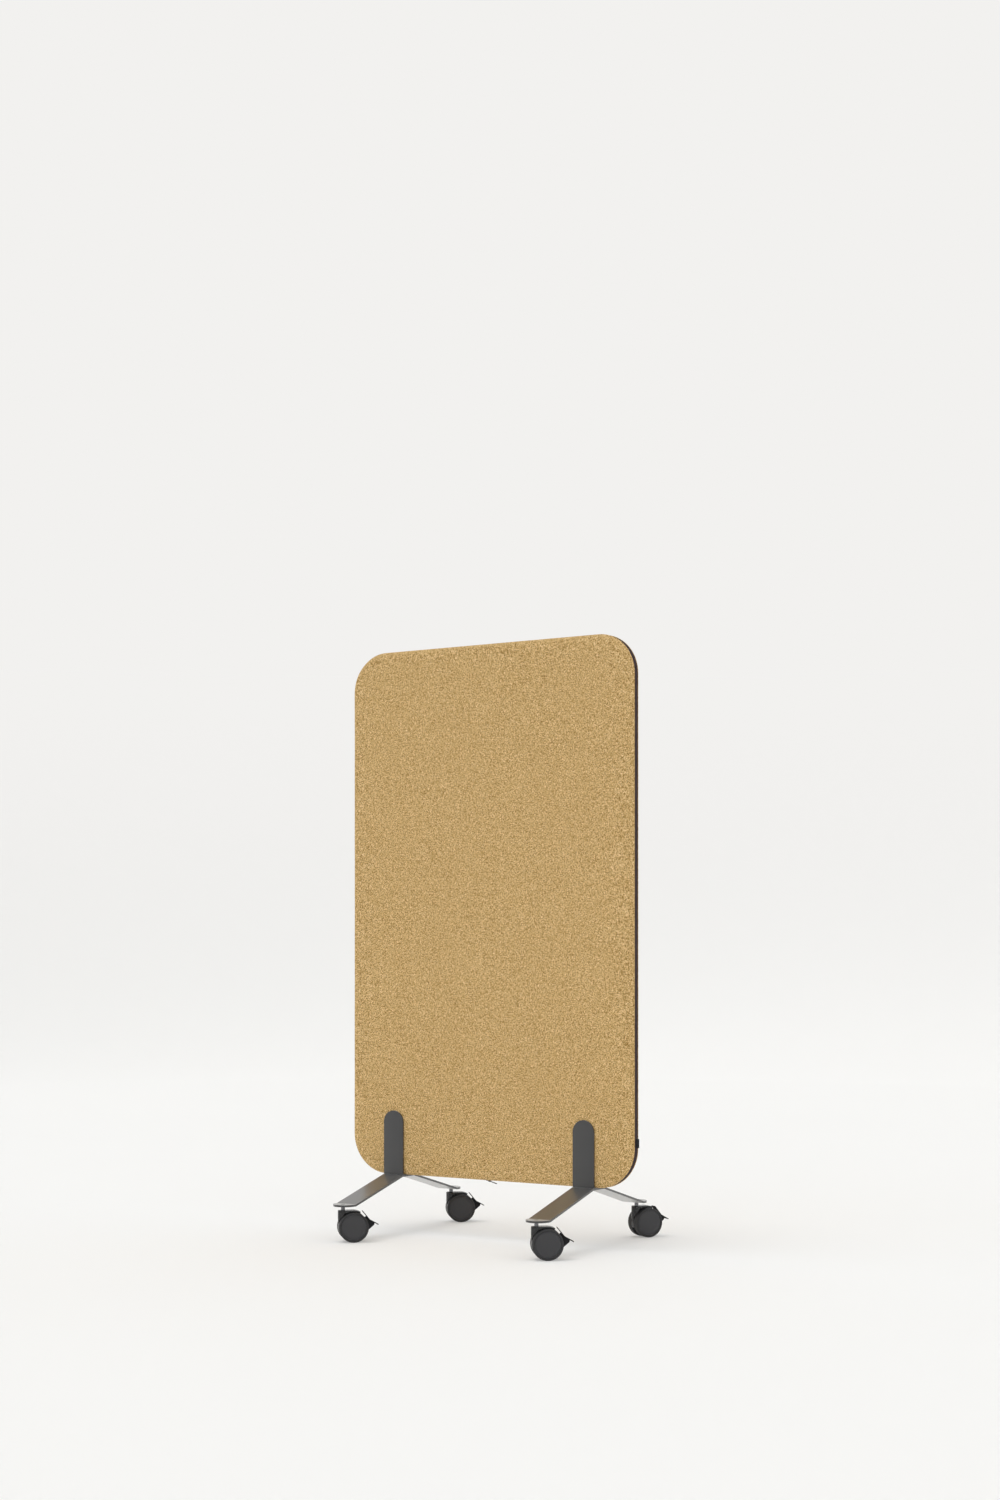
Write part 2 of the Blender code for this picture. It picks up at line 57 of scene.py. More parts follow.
# The wooden frame
# Two rails and two stiles of 12 mm birch plywood, glued into the ring that gives the panel its outline. The
# rails' outer corners are sawn to the panel's round corners, and the bottom rail takes the feet's screws.
def linear(red, green, blue):
    """A colour as a screen shows it, from 0 to 255, in linear values."""
    shares = [value / 255 for value in (red, green, blue)]
    return tuple(s / 12.92 if s <= 0.04045 else ((s + 0.055) / 1.055) ** 2.4 for s in shares)


def finish_of(name, colour, roughness, metallic=0.0):
    """A new material with one Principled shader, by its colour as a screen shows it."""
    made = bpy.data.materials.new(name)
    made.use_nodes = True
    shader = made.node_tree.nodes["Principled BSDF"]
    shader.inputs["Base Color"].default_value = (*linear(*colour), 1)
    shader.inputs["Roughness"].default_value = roughness
    shader.inputs["Metallic"].default_value = metallic
    return made


def grain(made, scale, detail=3.0, roughness=0.5, stretch=(1, 1, 1), seed=0.0):
    """A noise texture that fills the piece, by its own metres: the socket with its value."""
    tree = made.node_tree
    place = tree.nodes.new("ShaderNodeTexCoord")
    mapping = tree.nodes.new("ShaderNodeMapping")
    mapping.inputs["Scale"].default_value = stretch
    mapping.inputs["Location"].default_value = (seed, seed, seed)
    texture = tree.nodes.new("ShaderNodeTexNoise")
    texture.inputs["Scale"].default_value = scale
    texture.inputs["Detail"].default_value = detail
    texture.inputs["Roughness"].default_value = roughness
    tree.links.new(place.outputs["Object"], mapping.inputs["Vector"])
    tree.links.new(mapping.outputs["Vector"], texture.inputs["Vector"])
    return texture.outputs["Fac"]


def toned(made, value, stops):
    """Colours the material by a value, through screen colours at their places from 0 to 1."""
    tree = made.node_tree
    ramp = tree.nodes.new("ShaderNodeValToRGB")
    elements = ramp.color_ramp.elements
    elements.remove(elements[1])
    elements[0].position = stops[0][0]
    elements[0].color = (*linear(*stops[0][1]), 1)
    for place, colour in stops[1:]:
        elements.new(place).color = (*linear(*colour), 1)
    tree.links.new(value, ramp.inputs["Fac"])
    tree.links.new(ramp.outputs["Color"], tree.nodes["Principled BSDF"].inputs["Base Color"])


def varied(made, value, low, high):
    """Moves the shader's roughness between two limits by a value."""
    tree = made.node_tree
    limits = tree.nodes.new("ShaderNodeMapRange")
    limits.inputs["To Min"].default_value = low
    limits.inputs["To Max"].default_value = high
    tree.links.new(value, limits.inputs["Value"])
    tree.links.new(limits.outputs["Result"], tree.nodes["Principled BSDF"].inputs["Roughness"])


def embossed(made, value, depth, strength=1.0):
    """Raises and sinks the surface by a value, as deep as given in metres."""
    tree = made.node_tree
    bump = tree.nodes.new("ShaderNodeBump")
    bump.inputs["Distance"].default_value = depth
    bump.inputs["Strength"].default_value = strength
    tree.links.new(value, bump.inputs["Height"])
    tree.links.new(bump.outputs["Normal"], tree.nodes["Principled BSDF"].inputs["Normal"])


def dress(names, made):
    """Gives the frame's own pieces a finish."""
    for name in names:
        for place in cad[name].material_slots:
            place.material = made


birch = finish_of("birch_plywood", (198, 168, 128), 0.62)
birch_figure = grain(birch, 8.0, 6.0, 0.6, (9, 60, 1))
toned(birch, birch_figure, [(0.30, (176, 142, 102)), (0.55, (201, 171, 131)), (0.8, (217, 192, 156))])
embossed(birch, birch_figure, 0.0002, 0.4)
dress(["frame_bottom_rail", "frame_top_rail", "frame_left_stile", "frame_right_stile"], birch)


# The sound-absorbing board
# A 12 mm board of grey recycled felt that fills the frame and takes up the sound that comes through
# the covers. It is cut 0.3 mm small all round and lies loose between the two foam pads.
def added(name, data):
    """A new object in the scene."""
    made = bpy.data.objects.new(name, data)
    bpy.context.scene.collection.objects.link(made)
    return made


def shaded(piece, made, angle=35.0):
    """Gives a new piece its finish, smooth except where it turns sharply."""
    piece.data.materials.clear()
    piece.data.materials.append(made)
    piece.data.shade_smooth()
    piece.data.set_sharp_from_angle(angle=math.radians(angle))
    return piece


def softened(piece, width, segments=3, angle=35.0):
    """Rounds a piece's sharp edges."""
    change = piece.modifiers.new("edges", "BEVEL")
    change.width = width
    change.segments = segments
    change.limit_method = "ANGLE"
    change.angle_limit = math.radians(angle)
    change.harden_normals = False
    return piece


def block(low, high):
    """A box between two corners, as a mesh."""
    low, high = Vector(low), Vector(high)
    shape = bmesh.new()
    bmesh.ops.create_cube(shape, size=1)
    shape.transform(Matrix.Translation((low + high) / 2) @ Matrix.Diagonal((*(high - low), 1)))
    mesh = bpy.data.meshes.new("block")
    shape.to_mesh(mesh)
    shape.free()
    return mesh


felt_edge = 0.0020
felt = finish_of("grey_felt", (150, 149, 146), 0.95)
felt_fibres = grain(felt, 420, 5.0, 0.7)
toned(felt, felt_fibres, [(0.35, (112, 112, 110)), (0.5, (150, 149, 146)), (0.68, (186, 184, 178))])
embossed(felt, felt_fibres, 0.0006, 0.6)
felt_board = added("felt_board", block(*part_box("acoustic_core")))
shaded(softened(felt_board, felt_edge), felt)
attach(felt_board, "screen")
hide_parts("acoustic_core")


# The upholstered halves
# Each half is a melange wool cover drawn over a foam pad, flat on its face and rounded where the face turns
# into the edge. The cover's hem is sewn to its own side of the zip, which puckers it slightly.
panel_width = 0.840
panel_height = 1.350
corner_radius = 0.100
edge_radius = 0.0115
hem_fold = 0.0018
cloth_step = 0.0085
corner_cells = 12
edge_rings = 8
weld_distance = 1e-5
sewn_reach = 1.05
swell_frames = 20
swell_cap = 0.0009
ripple = 0.00035
ripple_sink = 0.6
ripple_length = 0.11
pucker = 0.00030
pucker_length = 0.021
yarn_pitch = 0.0021
yarn_directions = ((1, 0.8, 0), (0, 0.6, 1))
yarn_change = 0.4
fleck_scale = 250
fleck_stretch = 2.2

front_low, front_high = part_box("front_cover")
back_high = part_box("back_cover")[1]
middle_y = (front_low.y + back_high.y) / 2
middle_z = (front_low.z + front_high.z) / 2
panel_half = (back_high.y - front_low.y) / 2
hem_depth = middle_y - front_high.y
board_depth = middle_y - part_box("front_pad")[1].y
core_x = panel_width / 2 - corner_radius
core_z = panel_height / 2 - corner_radius


def spaced(core, radius):
    """Places across the panel: even between the corners' centres, with a fixed number over each corner."""
    over = [core + radius * i / corner_cells for i in range(corner_cells + 1)]
    count = round(2 * core / cloth_step)
    between = [core * (2 * i / count - 1) for i in range(1, count)]
    return [-place for place in reversed(over)] + between + over


def drawn_in(x, z, radius):
    """A square corner's place, drawn in to the round corner."""
    across = (abs(x) - core_x) / radius
    up = (abs(z) - core_z) / radius
    if across <= 0 or up <= 0:
        return x, z
    return (
        math.copysign(core_x + radius * across * math.sqrt(1 - up * up / 2), x),
        math.copysign(core_z + radius * up * math.sqrt(1 - across * across / 2), z),
    )


def lattice(inset):
    """Rows of places over the panel's outline moved in by inset."""
    radius = corner_radius - inset
    return [[drawn_in(x, z, radius) for x in spaced(core_x, radius)] for z in spaced(core_z, radius)]


def rim(rows):
    """The outermost places of a lattice, in order round it."""
    right = [row[-1] for row in rows[1:-1]]
    left = [row[0] for row in rows[1:-1]]
    return rows[0] + right + rows[-1][::-1] + left[::-1]


def half_form(side):
    """One half's closed form: its flat face, its rounded edge and the inner side against the board."""
    shape = bmesh.new()

    def laid(places, depth):
        y = middle_y + side * depth
        return [shape.verts.new((x, y, middle_z + z)) for x, z in places]

    def joined(first, second):
        for i in range(len(first)):
            j = (i + 1) % len(first)
            shape.faces.new((first[i], first[j], second[j], second[i]))

    def filled(rows):
        for low, high in zip(rows, rows[1:]):
            for i in range(len(low) - 1):
                shape.faces.new((low[i], low[i + 1], high[i + 1], high[i]))

    crown = panel_half - edge_radius
    hem_angle = math.asin((hem_depth - crown) / edge_radius)
    angles = np.linspace(math.pi / 2, hem_angle, edge_rings + 1)[1:]
    turns = [(edge_radius * (1 - math.cos(a)), crown + edge_radius * math.sin(a)) for a in angles]
    face = [laid(row, panel_half) for row in lattice(edge_radius)]
    filled(face)
    last = rim(face)
    for inset, depth in turns + [(hem_fold, hem_depth), (hem_fold, board_depth)]:
        ring = laid(rim(lattice(inset)), depth)
        joined(last, ring)
        last = ring
    inner = [laid(row, board_depth) for row in lattice(hem_fold)]
    filled(inner)
    bmesh.ops.remove_doubles(shape, verts=last + rim(inner), dist=weld_distance)
    bmesh.ops.recalc_face_normals(shape, faces=shape.faces)
    mesh = bpy.data.meshes.new("half")
    shape.to_mesh(mesh)
    shape.free()
    return mesh


def points_of(mesh):
    places = np.zeros(len(mesh.vertices) * 3)
    mesh.vertices.foreach_get("co", places)
    return places.reshape(-1, 3)


def swollen(piece, side):
    """Lets the foam fill the cover out by cloth simulation, with its sewn edge held still."""
    rest = points_of(piece.data)
    depth = side * (rest[:, 1] - middle_y)
    held = piece.vertex_groups.new(name="sewn_edge")
    held.add([int(i) for i in np.nonzero(depth < hem_depth * sewn_reach)[0]], 1.0, "REPLACE")
    cloth = piece.modifiers.new("swell", "CLOTH")
    cloth.settings.quality = 4
    cloth.settings.tension_stiffness = 40
    cloth.settings.compression_stiffness = 40
    cloth.settings.bending_stiffness = 2
    cloth.settings.use_pressure = True
    cloth.settings.uniform_pressure_force = 4
    cloth.settings.vertex_group_mass = "sewn_edge"
    cloth.settings.effector_weights.gravity = 0
    cloth.collision_settings.use_collision = False
    for step in range(1, swell_frames + 1):
        bpy.context.scene.frame_set(step)
    graph = bpy.context.evaluated_depsgraph_get()
    moved = points_of(piece.evaluated_get(graph).data) - rest
    piece.modifiers.remove(cloth)
    piece.vertex_groups.remove(held)
    bpy.context.scene.frame_set(1)
    reach = np.linalg.norm(moved, axis=1, keepdims=True)
    return rest + moved * np.minimum(1, swell_cap / np.maximum(reach, 1e-9))


def upholstered(name, side, cover, pad):
    """One half, swollen, with the slow ripple of fabric over foam and the puckers of its seam."""
    piece = added(name, half_form(side))
    places = swollen(piece, side)
    normals = np.zeros(len(piece.data.vertices) * 3)
    piece.data.vertices.foreach_get("normal", normals)
    normals = normals.reshape(-1, 3)
    depth = side * (places[:, 1] - middle_y)
    for i in np.nonzero(depth > hem_depth * sewn_reach)[0]:
        x, y, z = places[i]
        slow = noise.noise(Vector((x, side, z)) / ripple_length)
        seam = max(0.0, 1 - (depth[i] - hem_depth) / (panel_half - hem_depth))
        quick = noise.noise(Vector((x, 2 * side, z)) / pucker_length)
        places[i] += normals[i] * (ripple * (slow - ripple_sink) + pucker * seam * quick)
    piece.data.vertices.foreach_set("co", places.ravel())
    piece.data.update()
    shaded(piece, wool)
    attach(piece, "screen")
    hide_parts(cover, pad)


def mixed(made, first, second, share):
    """A value between two others, by a share of the second, or by a value from -1 to 1 that picks one."""
    tree = made.node_tree
    blend = tree.nodes.new("ShaderNodeMix")
    if isinstance(share, float):
        blend.inputs["Factor"].default_value = share
    else:
        pick = tree.nodes.new("ShaderNodeMapRange")
        pick.inputs["From Min"].default_value = -yarn_change
        pick.inputs["From Max"].default_value = yarn_change
        tree.links.new(share, pick.inputs["Value"])
        tree.links.new(pick.outputs["Result"], blend.inputs["Factor"])
    tree.links.new(first, blend.inputs["A"])
    tree.links.new(second, blend.inputs["B"])
    return blend.outputs["Result"]


def computed(made, operation, *values):
    """A value worked out from others."""
    step = made.node_tree.nodes.new("ShaderNodeMath")
    step.operation = operation
    for i, value in enumerate(values):
        made.node_tree.links.new(value, step.inputs[i])
    return step.outputs["Value"]


def weave(made):
    """The height of a plain weave, from -1 to 1, with a hump wherever one thread passes over another."""
    tree = made.node_tree
    place = tree.nodes.new("ShaderNodeTexCoord")
    waves = []
    for direction in yarn_directions:
        along = tree.nodes.new("ShaderNodeVectorMath")
        along.operation = "DOT_PRODUCT"
        along.inputs[1].default_value = Vector(direction) * math.pi / yarn_pitch
        tree.links.new(place.outputs["Object"], along.inputs[0])
        waves.append(computed(made, "SINE", along.outputs["Value"]))
    return computed(made, "MULTIPLY", *waves)


def tuned(made, values):
    """Sets the shader's own numbers and tints, by their names."""
    for name, value in values.items():
        made.node_tree.nodes["Principled BSDF"].inputs[name].default_value = value


wool = finish_of("mustard_melange_wool", (196, 165, 113), 0.95)
tuned(wool, {"Specular IOR Level": 0.25, "Sheen Weight": 0.06, "Sheen Roughness": 0.5})
tuned(wool, {"Sheen Tint": (*linear(240, 222, 180), 1)})
wool_warp = grain(wool, fleck_scale, 3.0, 0.6, (fleck_stretch, 1, 1))
wool_weft = grain(wool, fleck_scale, 3.0, 0.6, (1, 1, fleck_stretch), 3.0)
wool_crossing = weave(wool)
toned(
    wool,
    mixed(wool, wool_warp, wool_weft, wool_crossing),
    [
        (0.36, (116, 82, 30)),
        (0.44, (174, 138, 78)),
        (0.50, (211, 174, 114)),
        (0.56, (231, 196, 138)),
        (0.64, (255, 230, 184)),
    ],
)
embossed(wool, mixed(wool, wool_crossing, grain(wool, 1500, 3.0, 0.7), 0.5), 0.0008, 0.7)
upholstered("front_upholstery", -1, "front_cover", "front_pad")
upholstered("back_upholstery", 1, "back_cover", "back_pad")


# The zip
# One long dark zip closes the two covers all round the panel's edge: a tape on each side, and a chain of
# small moulded teeth that mesh down the middle, just below the fabric.
tape_inset = 0.0009
tape_thickness = 0.0005
tape_slit = 0.0004
tape_dip_reach = 3
tape_spacing = 0.008
tooth_pitch = 0.0026
tooth_length = 0.0036
tooth_cross = 0.0008
tooth_height = 0.0007
tooth_width = 0.0010
tooth_taper = 0.62
tooth_nose = 0.6


def edge_places(inset, spacing):
    """Even places round the panel's edge: X, Z and the direction outwards, in X and Z."""
    radius = corner_radius - inset
    quarter = math.pi / 2
    turn = radius * quarter
    lengths = [2 * core_z, 2 * core_x, 2 * core_z, 2 * core_x]
    centres = [(core_x, core_z), (-core_x, core_z), (-core_x, -core_z), (core_x, -core_z)]
    total = sum(lengths) + 4 * turn
    count = round(total / spacing)
    places = []
    for i in range(count):
        distance = total * i / count
        side = 0
        while distance >= lengths[side] + turn:
            distance -= lengths[side] + turn
            side += 1
        cx, cz = centres[side]
        angle = side * quarter + max(0.0, distance - lengths[side]) / radius
        back = max(0.0, lengths[side] - distance)
        out_x, out_z = math.cos(angle), math.sin(angle)
        x = cx + radius * out_x + back * out_z
        z = cz + radius * out_z - back * out_x
        places.append((x, z, out_x, out_z))
    return places


def swept(name, sections, inset):
    """Closed cross-sections, in depth and height over the inset, carried round the panel's edge."""
    places = edge_places(inset, tape_spacing)
    points, faces = [], []
    for section in sections:
        first = len(points)
        size = len(section)
        for x, z, out_x, out_z in places:
            for depth, height in section:
                points.append((x + height * out_x, middle_y + depth, middle_z + z + height * out_z))
        for i in range(len(places)):
            here = first + i * size
            there = first + (i + 1) % len(places) * size
            for j in range(size):
                k = (j + 1) % size
                faces.append((here + j, here + k, there + k, there + j))
    mesh = bpy.data.meshes.new(name)
    mesh.from_pydata(points, [], faces)
    return added(name, mesh)


def tape_section(side):
    """A tape from the chain to under the cover's edge, dipping a little towards the slit."""
    inner, outer = side * tape_slit, side * hem_depth
    dip = tape_thickness / 2
    ends = [(inner, -dip), (inner * tape_dip_reach, 0), (outer, 0)]
    ends += [(outer, -tape_thickness), (inner, -tape_thickness - dip)]
    return ends if side > 0 else ends[::-1]


def zip_teeth():
    """Tapered teeth, the front tape's and the back tape's by turns, each reaching over the slit."""
    points, faces = [], []
    places = edge_places(tape_inset, tooth_pitch / 2)
    places = places[: len(places) // 2 * 2]
    sides = [(0, 1, 3, 2), (0, 4, 5, 1), (1, 5, 7, 3), (3, 7, 6, 2), (2, 6, 4, 0), (4, 6, 7, 5)]
    for i, (x, z, out_x, out_z) in enumerate(places):
        hand = 1 if i % 2 else -1
        first = len(points)
        for height, taper in ((0.0, 1.0), (tooth_height, tooth_taper)):
            for depth, narrow in ((-tooth_cross, tooth_nose), (tooth_length, 1.0)):
                y = middle_y + hand * depth * (taper if depth > 0 else 1)
                for step in (-1, 1):
                    along = step * tooth_width / 2 * taper * narrow
                    across = x + height * out_x - along * out_z
                    up = middle_z + z + height * out_z + along * out_x
                    points.append((across, y, up))
        faces += [tuple(first + j for j in (side if hand > 0 else side[::-1])) for side in sides]
    mesh = bpy.data.meshes.new("zip_teeth")
    mesh.from_pydata(points, [], faces)
    return added("zip_teeth", mesh)


tape_cloth = finish_of("zip_tape_cloth", (62, 42, 45), 0.85)
tape_weave = grain(tape_cloth, 900, 2.0, 0.5, (1, 2.4, 1))
toned(tape_cloth, tape_weave, [(0.35, (44, 29, 32)), (0.65, (80, 57, 60))])
embossed(tape_cloth, tape_weave, 0.0002, 0.6)
tooth_resin = finish_of("zip_tooth_resin", (54, 40, 42), 0.42)
varied(tooth_resin, grain(tooth_resin, 240, 2.0), 0.34, 0.55)
zip_tapes = shaded(swept("zip_tapes", [tape_section(-1), tape_section(1)], tape_inset), tape_cloth)
zip_chain = shaded(zip_teeth(), tooth_resin)
for piece in (zip_tapes, zip_chain):
    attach(piece, "screen")
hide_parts("zip_tape")


# The covers' piped edges
# Where a cover turns in to the zip its edge is doubled over a thin core and stitched, which leaves a narrow
# roll of the same wool on each side of the zip.
def arc(centre, radius, start, end, steps):
    """Points of an arc, both ends included."""
    angles = [start + (end - start) * i / steps for i in range(steps + 1)]
    return [(centre[0] + radius * math.cos(a), centre[1] + radius * math.sin(a)) for a in angles]


roll_radius = 0.0007
roll_inset = 0.0005
roll_steps = 8
rolls = [arc((side * hem_depth, 0), roll_radius, 0, math.tau, roll_steps)[:-1] for side in (-1, 1)]
cover_edges = shaded(swept("cover_edges", rolls, roll_inset), wool, angle=80.0)
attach(cover_edges, "screen")


# The zip's slider and pull
# A die-cast slider with a pinched nose and an arched bridge, coated black, and a flat stamped pull that hooks
# through the bridge. The slider rests at the middle of the bottom edge.
slider_low, slider_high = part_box("zip_slider")
slider_x = (slider_low.x + slider_high.x) / 2
slider_half = (slider_high.x - slider_low.x) / 2
slider_half_width = (slider_high.y - slider_low.y) / 2
slider_plate = 0.0022
slider_edge = 0.0006
bridge_width = 0.0022
bridge_bar = 0.0011
bridge_half = 0.0033
bridge_steps = 16
pull_length = 0.0235
pull_width = 0.0054
pull_neck = 0.0038
pull_thickness = 0.0012
pull_slot = 0.0050
pull_sag = math.radians(14)
pull_steps = 12
eye_steps = 16
clearance = 0.0003


def joint_named(name):
    return next(joint for joint in frame["joints"] if joint["name"] == name)


pull_hinge = joint_named("zip_pull_swing")["pos_m"]


def solid_mesh(builder, weld=True):
    """A builder's evaluated shape as a mesh of its own, with loose caps welded."""
    bpy.context.view_layer.update()
    graph = bpy.context.evaluated_depsgraph_get()
    mesh = bpy.data.meshes.new_from_object(builder.evaluated_get(graph))
    mesh.transform(builder.matrix_world)
    bpy.data.objects.remove(builder, do_unlink=True)
    if weld:
        shape = bmesh.new()
        shape.from_mesh(mesh)
        bmesh.ops.remove_doubles(shape, verts=shape.verts, dist=weld_distance)
        bmesh.ops.recalc_face_normals(shape, faces=shape.faces)
        shape.to_mesh(mesh)
        shape.free()
    return mesh


def plate(outlines, depth, edge=0.0, edge_steps=2, upright=True):
    """Flat outlines given a thickness, with rounded edges: upright in X and Z, or else lying flat."""
    curve = bpy.data.curves.new("outline", "CURVE")
    curve.dimensions = "2D"
    curve.fill_mode = "BOTH"
    curve.extrude = depth / 2 - edge
    curve.bevel_depth = edge
    curve.bevel_resolution = edge_steps
    curve.offset = -edge
    for points in outlines:
        spline = curve.splines.new("POLY")
        spline.points.add(len(points) - 1)
        for point, (x, z) in zip(spline.points, points):
            point.co = (x, z, 0, 1)
        spline.use_cyclic_u = True
    holder = added("outline", curve)
    if upright:
        holder.rotation_euler = (math.pi / 2, 0, 0)
    return solid_mesh(holder)


def combined(base, changes):
    """A mesh cut by, joined to or kept within others in turn."""
    holder = added("base", base)
    tools = []
    for operation, mesh in changes:
        tool = added("tool", mesh)
        tools.append(tool)
        change = holder.modifiers.new(operation.lower(), "BOOLEAN")
        change.operation = operation
        change.object = tool
        change.solver = "EXACT"
    mesh = solid_mesh(holder, weld=False)
    for tool in tools:
        bpy.data.objects.remove(tool, do_unlink=True)
    return mesh


def placed(mesh, *matrices):
    for matrix in matrices:
        mesh.transform(matrix)
    return mesh


def slider_mesh():
    """The shield-shaped body with the bridge cast on it, upside down at its place."""
    nose = slider_half_width / 2
    waist = slider_half_width - slider_edge
    outline = [(-slider_half, -waist), (-slider_half, waist), (0, slider_half_width)]
    outline += [(slider_half, nose), (slider_half, -nose), (0, -slider_half_width)]
    root = -slider_plate / 2
    body = plate([outline], slider_plate, slider_edge, upright=False)
    body = placed(body, Matrix.Translation((0, 0, root)))
    rise = slider_high.z - slider_low.z - slider_plate

    def hump(half, rise, start, end):
        angles = np.linspace(start, end, bridge_steps + 1)
        return [(-half * math.cos(a), -slider_plate - rise * math.sin(a)) for a in angles]

    inner = bridge_half - bridge_bar
    path = [(-bridge_half, root)] + hump(bridge_half, rise, 0, math.pi) + [(bridge_half, root)]
    path += [(inner, root)] + hump(inner, rise - bridge_bar, math.pi, 0) + [(-inner, root)]
    bridge = plate([path], bridge_width, slider_edge / 3)
    bridge = placed(bridge, Matrix.Translation((pull_hinge[0] - slider_x, 0, 0)))
    whole = combined(body, [("UNION", bridge)])
    return placed(whole, Matrix.Translation((slider_x, middle_y, slider_high.z)))


def pull_mesh():
    """A stamped tab: slotted round the bridge, waisted, and round at its end."""
    half, neck, bar = pull_width / 2, pull_neck / 2, pull_thickness / 2
    waist = pull_slot + half
    end = pull_length - half
    outline = [(-bar, -half), (pull_slot, -half), (waist, -neck), (end - half, -half)]
    outline += arc((end, 0), half, -math.pi / 2, math.pi / 2, pull_steps)
    outline += [(end - half, half), (waist, neck), (pull_slot, half), (-bar, half)]
    cheek = bridge_width / 2 + clearance
    slot_end = pull_slot - bar
    slot = [(bar, -cheek), (bar, cheek), (slot_end, cheek), (pull_slot, 0), (slot_end, -cheek)]
    eye = arc((end, 0), half / 2, 0, math.tau, eye_steps)[:-1]
    tab = plate([outline, slot, eye], pull_thickness, pull_thickness / 5, upright=False)
    sag = Matrix.Rotation(pull_sag, 4, "Y")
    return placed(tab, sag, Matrix.Translation(pull_hinge))


black_zinc = finish_of("black_coated_zinc", (44, 42, 43), 0.38, 0.4)
varied(black_zinc, grain(black_zinc, 300, 3.0), 0.30, 0.52)
embossed(black_zinc, grain(black_zinc, 1400, 2.0), 0.00005, 0.4)
slider = shaded(added("slider_casting", slider_mesh()), black_zinc)
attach(slider, "zip_carriage")
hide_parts("zip_slider")
pull = shaded(added("pull_tab", pull_mesh()), black_zinc)
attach(pull, "zip_pull_tab")
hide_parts("zip_pull")


# The ribbon tab
# A short length of black woven ribbon, folded double and caught in the seam near the bottom of the right
# edge. It is bare on both sides.
tab_low, tab_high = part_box("label_tab")
ribbon = 0.00045
ribbon_steps = 8


def ribbon_mesh():
    """The folded ribbon's outline, seen from above, carried up its height."""
    middle = (tab_low + tab_high) / 2
    half = (tab_high.y - tab_low.y) / 2
    inner = half - ribbon
    quarter = math.pi / 2
    fold = (tab_high.x - tab_low.x - half, 0)
    outline = [(0, -half)] + arc(fold, half, -quarter, quarter, ribbon_steps) + [(0, half)]
    outline += [(0, inner)] + arc(fold, inner, quarter, -quarter, ribbon_steps) + [(0, -inner)]
    mesh = plate([outline], tab_high.z - tab_low.z, ribbon / 5, 1, upright=False)
    return placed(mesh, Matrix.Translation((tab_low.x, middle.y, middle.z)))


black_ribbon = finish_of("black_woven_ribbon", (30, 30, 32), 0.7)
ribbon_weave = grain(black_ribbon, 1500, 1.0, 0.4, (1, 1, 3))
toned(black_ribbon, ribbon_weave, [(0.35, (20, 20, 22)), (0.65, (42, 42, 45))])
embossed(black_ribbon, ribbon_weave, 0.00015, 0.7)
ribbon_tab = shaded(added("ribbon_tab", ribbon_mesh()), black_ribbon)
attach(ribbon_tab, "screen")
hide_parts("label_tab")


# The feet
# Each foot is one flat bar, 60 by 5 mm, bent down on both sides of a short level saddle, with two tongues
# welded upright on it. The whole foot is powder coated in graphite, with a fine even skin and soft edges.
strip_width = 0.060
strip_thickness = 0.005
strip_bend = 0.010
end_flat = 0.015
bend_steps = 8
round_steps = 32
foot_edge = 0.0007
stem_radius = 0.0050


def filleted(points, radius, steps):
    """The same open path with each inner corner turned on an arc of this radius."""
    path = [points[0]]
    for before, corner, after in zip(points, points[1:], points[2:]):
        into = math.atan2(corner[1] - before[1], corner[0] - before[0])
        out = math.atan2(after[1] - corner[1], after[0] - corner[0])
        turn = (out - into + math.pi) % math.tau - math.pi
        reach = radius * math.tan(abs(turn) / 2)
        side = math.copysign(math.pi / 2, turn)
        start = (corner[0] - reach * math.cos(into), corner[1] - reach * math.sin(into))
        centre = (start[0] + radius * math.cos(into + side), start[1] + radius * math.sin(into + side))
        path += arc(centre, radius, into - side, into - side + turn, steps)
    return path + [points[-1]]


def strip(points, width, thickness):
    """A ribbon that follows a path in X and Z, with its width along Y and walls of an even thickness."""
    count = len(points)
    mesh = bpy.data.meshes.new("ribbon")
    places = [(x, y, z) for y in (-width / 2, width / 2) for x, z in points]
    mesh.from_pydata(places, [], [(i, i + 1, count + i + 1, count + i) for i in range(count - 1)])
    holder = added("ribbon", mesh)
    wall = holder.modifiers.new("wall", "SOLIDIFY")
    wall.thickness = thickness
    wall.offset = 0
    wall.use_even_offset = True
    return solid_mesh(holder)


def rod(radius, low, high, axis, at, steps):
    """A cylinder from low to high along an axis, at the other two coordinates."""
    shape = bmesh.new()
    bmesh.ops.create_cone(
        shape, cap_ends=True, segments=steps, radius1=radius, radius2=radius, depth=high - low
    )
    middle = (low + high) / 2
    if axis == "Y":
        shape.transform(Matrix.Rotation(math.pi / 2, 4, "X"))
        shape.transform(Matrix.Translation((at[0], middle, at[1])))
    else:
        shape.transform(Matrix.Translation((at[0], at[1], middle)))
    mesh = bpy.data.meshes.new("rod")
    shape.to_mesh(mesh)
    shape.free()
    return mesh


